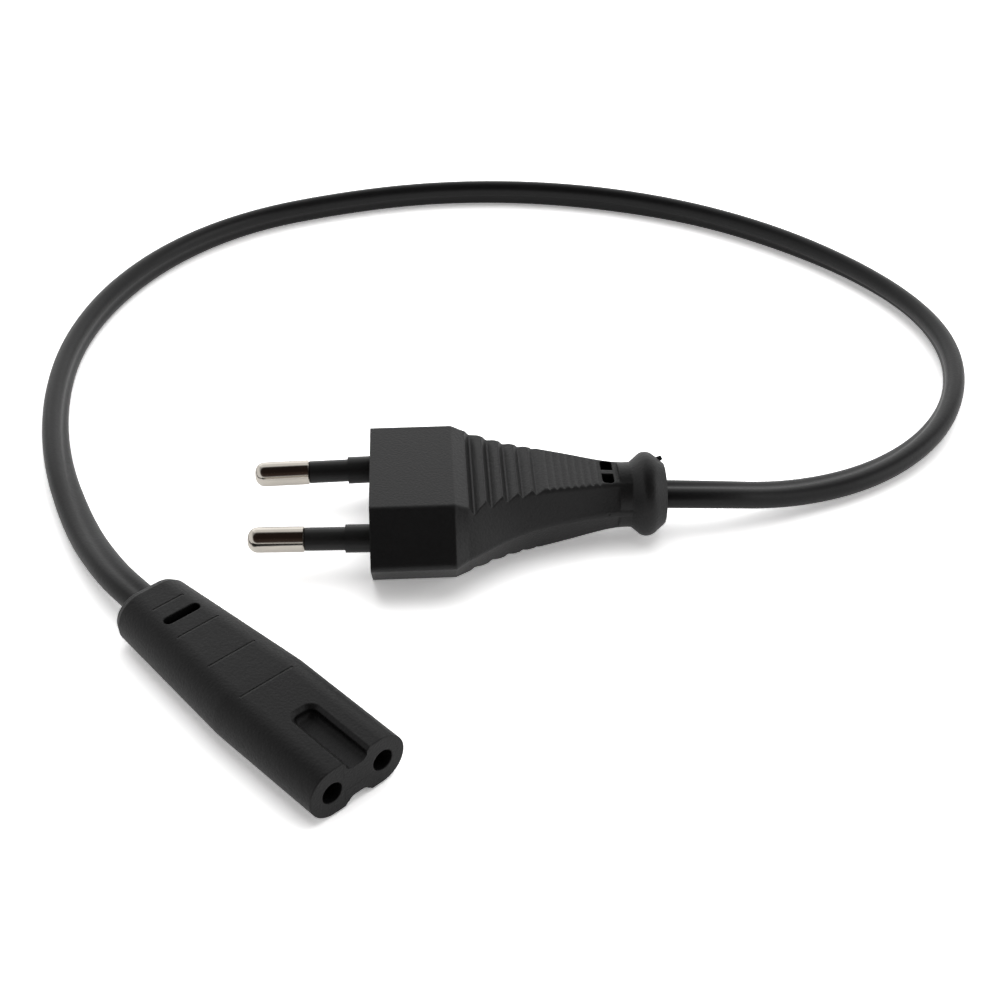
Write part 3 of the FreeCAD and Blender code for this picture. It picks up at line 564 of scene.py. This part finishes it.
# Key groove linings
# The web between the connector's two lobes is thicker than the bare groove and runs
# up to both lobes in soft curves, above and below. It is part of the same casting.
CONNECTOR_AXIS = 4.3 * MM
GROOVE_FRONT = 31.215 * MM
GROOVE_REAR = 19.68 * MM
GROOVE_HALF = 1.85 * MM
# The block that fills the groove, with the distances of its base and top from the axis
LINING_BASE = 1.15 * MM
LINING_HALF = 2.2 * MM
LINING_TOP = 3.4 * MM
LINING_OVERLAP = 0.1 * MM
# The trough cut out of it, which reaches past the block in front and above
TROUGH_ROUND = 1.2 * MM
TROUGH_ROUND_STEPS = 8
TROUGH_PAST_FRONT = 4 * MM
TROUGH_TOP = 10.2 * MM
# Distance of the finished web's upper and lower side from the connector's axis
UPPER_FLOOR = 2.15 * MM
LOWER_FLOOR = 2.8 * MM
SAME_PLACE = 1e-7
SMOOTH_ANGLE = math.radians(35)

lining_moulding = make_moulded(
    "lining_moulding",
    MOULDING_COLOUR,
    shine=CONNECTOR_SHINE,
    **MOULDING_GRAIN,
)


def pick(piece):
    """Selects one piece alone and makes it the active one."""
    bpy.ops.object.select_all(action="DESELECT")
    piece.select_set(True)
    bpy.context.view_layer.objects.active = piece


def add_block(name, low, high):
    """A plain block between two corners, as a mesh at the origin."""
    bpy.ops.object.select_all(action="DESELECT")
    bpy.ops.mesh.primitive_cube_add(size=1)
    block = bpy.context.object
    block.name = name
    block.scale = [high[i] - low[i] for i in range(3)]
    block.location = [(high[i] + low[i]) / 2 for i in range(3)]
    bpy.ops.object.transform_apply(location=True, rotation=True, scale=True)
    return block


def round_trough(block):
    """Rounds the lower edges and the rear upright edges of the block that cuts the trough."""
    mesh = block.data
    bpy.ops.object.mode_set(mode="EDIT")
    bpy.ops.mesh.select_all(action="DESELECT")
    bpy.ops.object.mode_set(mode="OBJECT")
    low = min(vertex.co.z for vertex in mesh.vertices)
    rear = min(vertex.co.x for vertex in mesh.vertices)
    for edge in mesh.edges:
        ends = [mesh.vertices[number].co for number in edge.vertices]
        under = all(abs(end.z - low) < SAME_PLACE for end in ends)
        behind = all(abs(end.x - rear) < SAME_PLACE for end in ends)
        upright = abs(ends[0].z - ends[1].z) > SAME_PLACE
        edge.select = (under and not upright) or (behind and upright)
    bpy.ops.object.mode_set(mode="EDIT")
    bpy.ops.mesh.select_mode(type="EDGE")
    bpy.ops.mesh.bevel(offset=TROUGH_ROUND, segments=TROUGH_ROUND_STEPS, affect="EDGES")
    bpy.ops.object.mode_set(mode="OBJECT")


def make_lining(name, floor):
    """The filled groove above the web, with its trough cut out down to a floor."""
    lining = add_block(
        name,
        (GROOVE_REAR - LINING_OVERLAP, LINES_CENTRE - LINING_HALF, CONNECTOR_AXIS + LINING_BASE),
        (GROOVE_FRONT, LINES_CENTRE + LINING_HALF, CONNECTOR_AXIS + LINING_TOP),
    )
    trough = add_block(
        name + "_trough",
        (GROOVE_REAR, LINES_CENTRE - GROOVE_HALF, CONNECTOR_AXIS + floor),
        (GROOVE_FRONT + TROUGH_PAST_FRONT, LINES_CENTRE + GROOVE_HALF, CONNECTOR_AXIS + TROUGH_TOP),
    )
    round_trough(trough)
    pick(lining)
    cut = lining.modifiers.new("trough", "BOOLEAN")
    cut.operation = "DIFFERENCE"
    cut.object = trough
    bpy.ops.object.modifier_apply(modifier=cut.name)
    bpy.ops.object.shade_smooth_by_angle(angle=SMOOTH_ANGLE)
    bpy.data.objects.remove(trough)
    wear(lining, lining_moulding)
    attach(lining, "root")
    return lining


def turn_over(lining):
    """Turns a lining over, to the underside of the web."""
    pick(lining)
    middle = (0, LINES_CENTRE, CONNECTOR_AXIS)
    bpy.ops.transform.rotate(value=math.pi, orient_axis="X", center_override=middle)
    bpy.ops.object.transform_apply(location=True, rotation=True, scale=True)


make_lining("groove_lining_upper", UPPER_FLOOR)
turn_over(make_lining("groove_lining_lower", LOWER_FLOOR))


# Plug moulding
# The same soft black vinyl, cast round the bridge that holds the pins, with a little
# more gloss. An ejector pin has left a small round dent on the grip's near side.
# The dent's inside is painted near black as shade, as the connector's grooves are.
PLUG_SHINE = 0.33
PLUG_EDGE = 0.35 * MM
DENT_CENTRE = (17.59 * MM, 28.56 * MM, 7.25 * MM)
DENT_RADIUS = 0.45 * MM
DENT_DEPTH = 0.4 * MM


def make_dent_group():
    """How deep a point lies in the dent, from 0 to 1."""
    group, given, result = new_group("ejector_dent", {"Vector": "Vector"}, {"Depth": "Float"})
    away = add_node(group, "ShaderNodeVectorMath", operation="DISTANCE")
    away.inputs[1].default_value = DENT_CENTRE
    wall = add_range(group, (DENT_RADIUS, 0.0), interpolation_type="SMOOTHSTEP")
    group.links.new(given.outputs["Vector"], away.inputs[0])
    group.links.new(away.outputs["Value"], wall.inputs["Value"])
    group.links.new(wall.outputs["Result"], result.inputs["Depth"])
    return group


plug_moulding = make_moulded(
    "plug_moulding",
    MOULDING_COLOUR,
    edge=PLUG_EDGE,
    shine=PLUG_SHINE,
    **MOULDING_GRAIN,
)
engrave(plug_moulding, make_dent_group(), DENT_DEPTH)
wear(nodes["plug_body"], plug_moulding)


# Runner stub
# A short stub of the same vinyl on the collar's rear edge, where the casting was
# broken off the runner that fed it.
STUB_PLACE = (16.5 * MM, 40.45 * MM, 11.55 * MM)
STUB_WAY = Vector((0.5, 0.75, 0.45))
STUB_RADIUS = 0.6 * MM
STUB_TIP_RADIUS = 0.36 * MM
STUB_HEIGHT = 1.9 * MM
STUB_SIDES = 24

bpy.ops.object.select_all(action="DESELECT")
bpy.ops.mesh.primitive_cone_add(
    vertices=STUB_SIDES,
    radius1=STUB_RADIUS,
    radius2=STUB_TIP_RADIUS,
    depth=STUB_HEIGHT,
    location=STUB_PLACE,
    rotation=STUB_WAY.to_track_quat("Z", "Y").to_euler(),
)
stub = bpy.context.object
stub.name = "runner_stub"
bpy.ops.object.transform_apply(location=True, rotation=True, scale=True)
bpy.ops.object.shade_smooth_by_angle(angle=SMOOTH_ANGLE)
wear(stub, lining_moulding)
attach(stub, "root")


# Hard inserts
# The bridge that holds the pins, the thin sleeves on their necks and the
# connector's carrier are hard black nylon, smoother than the vinyl round them.
INSERT_COLOUR = (0.012, 0.012, 0.012, 1)
INSERTS = ("plug_bridge", "contact_carrier", "pin_sleeve_left", "pin_sleeve_right")

hard_nylon = make_moulded(
    "hard_nylon",
    INSERT_COLOUR,
    roughness=0.34,
    grain_size=0.25 * MM,
    specks=0.0,
    bump=0.01 * MM,
)
for name in INSERTS:
    wear(nodes[name], hard_nylon)


# Contact pins and spring contacts
# The pins are turned from brass rod and nickel plated, with fine marks all over.
# The spring contacts are rolled from bronze strip.
NICKEL_COLOUR = (0.62, 0.58, 0.52)
BRONZE_COLOUR = (0.66, 0.42, 0.20)
MARK_DEPTH = 0.004 * MM
# Smudges to a metre of metal, and how far they change its tone and roughness
SMUDGES_PER_METRE = 260.0
SMUDGE_TONES = (0.85, 1.1)
SMUDGE_ROUGHNESS = (0.7, 1.4)


def make_metal(name, colour, roughness, mark_size):
    """A worked metal with faint marks and smudges from handling."""
    material, tree = new_material(name)
    place = add_node(tree, "ShaderNodeTexCoord")
    marks = add_node(tree, "ShaderNodeTexNoise", Scale=1 / mark_size, Detail=3.0)
    smudges = add_node(tree, "ShaderNodeTexNoise", Scale=SMUDGES_PER_METRE, Detail=2.0)
    tone = add_range(tree, result=SMUDGE_TONES)
    tinted = add_node(tree, "ShaderNodeVectorMath", operation="SCALE")
    tinted.inputs[0].default_value = colour
    rough = add_range(tree, result=[roughness * share for share in SMUDGE_ROUGHNESS])
    relief = add_node(tree, "ShaderNodeBump", Strength=0.25, Distance=MARK_DEPTH)
    surface = add_node(tree, "ShaderNodeBsdfPrincipled", Metallic=1.0)
    output = add_node(tree, "ShaderNodeOutputMaterial")
    link = tree.links.new
    link(place.outputs["Object"], marks.inputs["Vector"])
    link(place.outputs["Object"], smudges.inputs["Vector"])
    link(smudges.outputs["Fac"], tone.inputs["Value"])
    link(tone.outputs["Result"], tinted.inputs["Scale"])
    link(smudges.outputs["Fac"], rough.inputs["Value"])
    link(tinted.outputs[0], surface.inputs["Base Color"])
    link(rough.outputs["Result"], surface.inputs["Roughness"])
    link(marks.outputs["Fac"], relief.inputs["Height"])
    link(relief.outputs["Normal"], surface.inputs["Normal"])
    link(surface.outputs[0], output.inputs["Surface"])
    return material


nickel = make_metal("nickel_plate", NICKEL_COLOUR, roughness=0.13, mark_size=0.4 * MM)
bronze = make_metal("spring_bronze", BRONZE_COLOUR, roughness=0.25, mark_size=0.2 * MM)
for side in ("left", "right"):
    wear(nodes["plug_pin_" + side], nickel)
    wear(nodes["socket_contact_" + side], bronze)


# Wires inside
# Each end of the cord has a brown and a blue wire of twisted copper strands,
# stripped and crimped into its contact before the moulding goes round them.
BROWN_COLOUR = (0.13, 0.05, 0.02, 1)
BLUE_COLOUR = (0.02, 0.10, 0.42, 1)
COPPER_COLOUR = (0.85, 0.44, 0.28)
CORE_FINISH = {
    "roughness": 0.42,
    "grain_size": 0.2 * MM,
    "specks": 0.0,
    "bump": 0.01 * MM,
}

brown = make_moulded("core_brown", BROWN_COLOUR, **CORE_FINISH)
blue = make_moulded("core_blue", BLUE_COLOUR, **CORE_FINISH)
copper = make_metal("copper_strands", COPPER_COLOUR, roughness=0.3, mark_size=0.1 * MM)
for name, material in (
    ("plug_core_left", brown),
    ("plug_core_right", blue),
    ("connector_core_left", blue),
    ("connector_core_right", brown),
):
    wear(nodes[name], material)
for end in ("plug", "connector"):
    for side in ("left", "right"):
        wear(nodes[end + "_strands_" + side], copper)
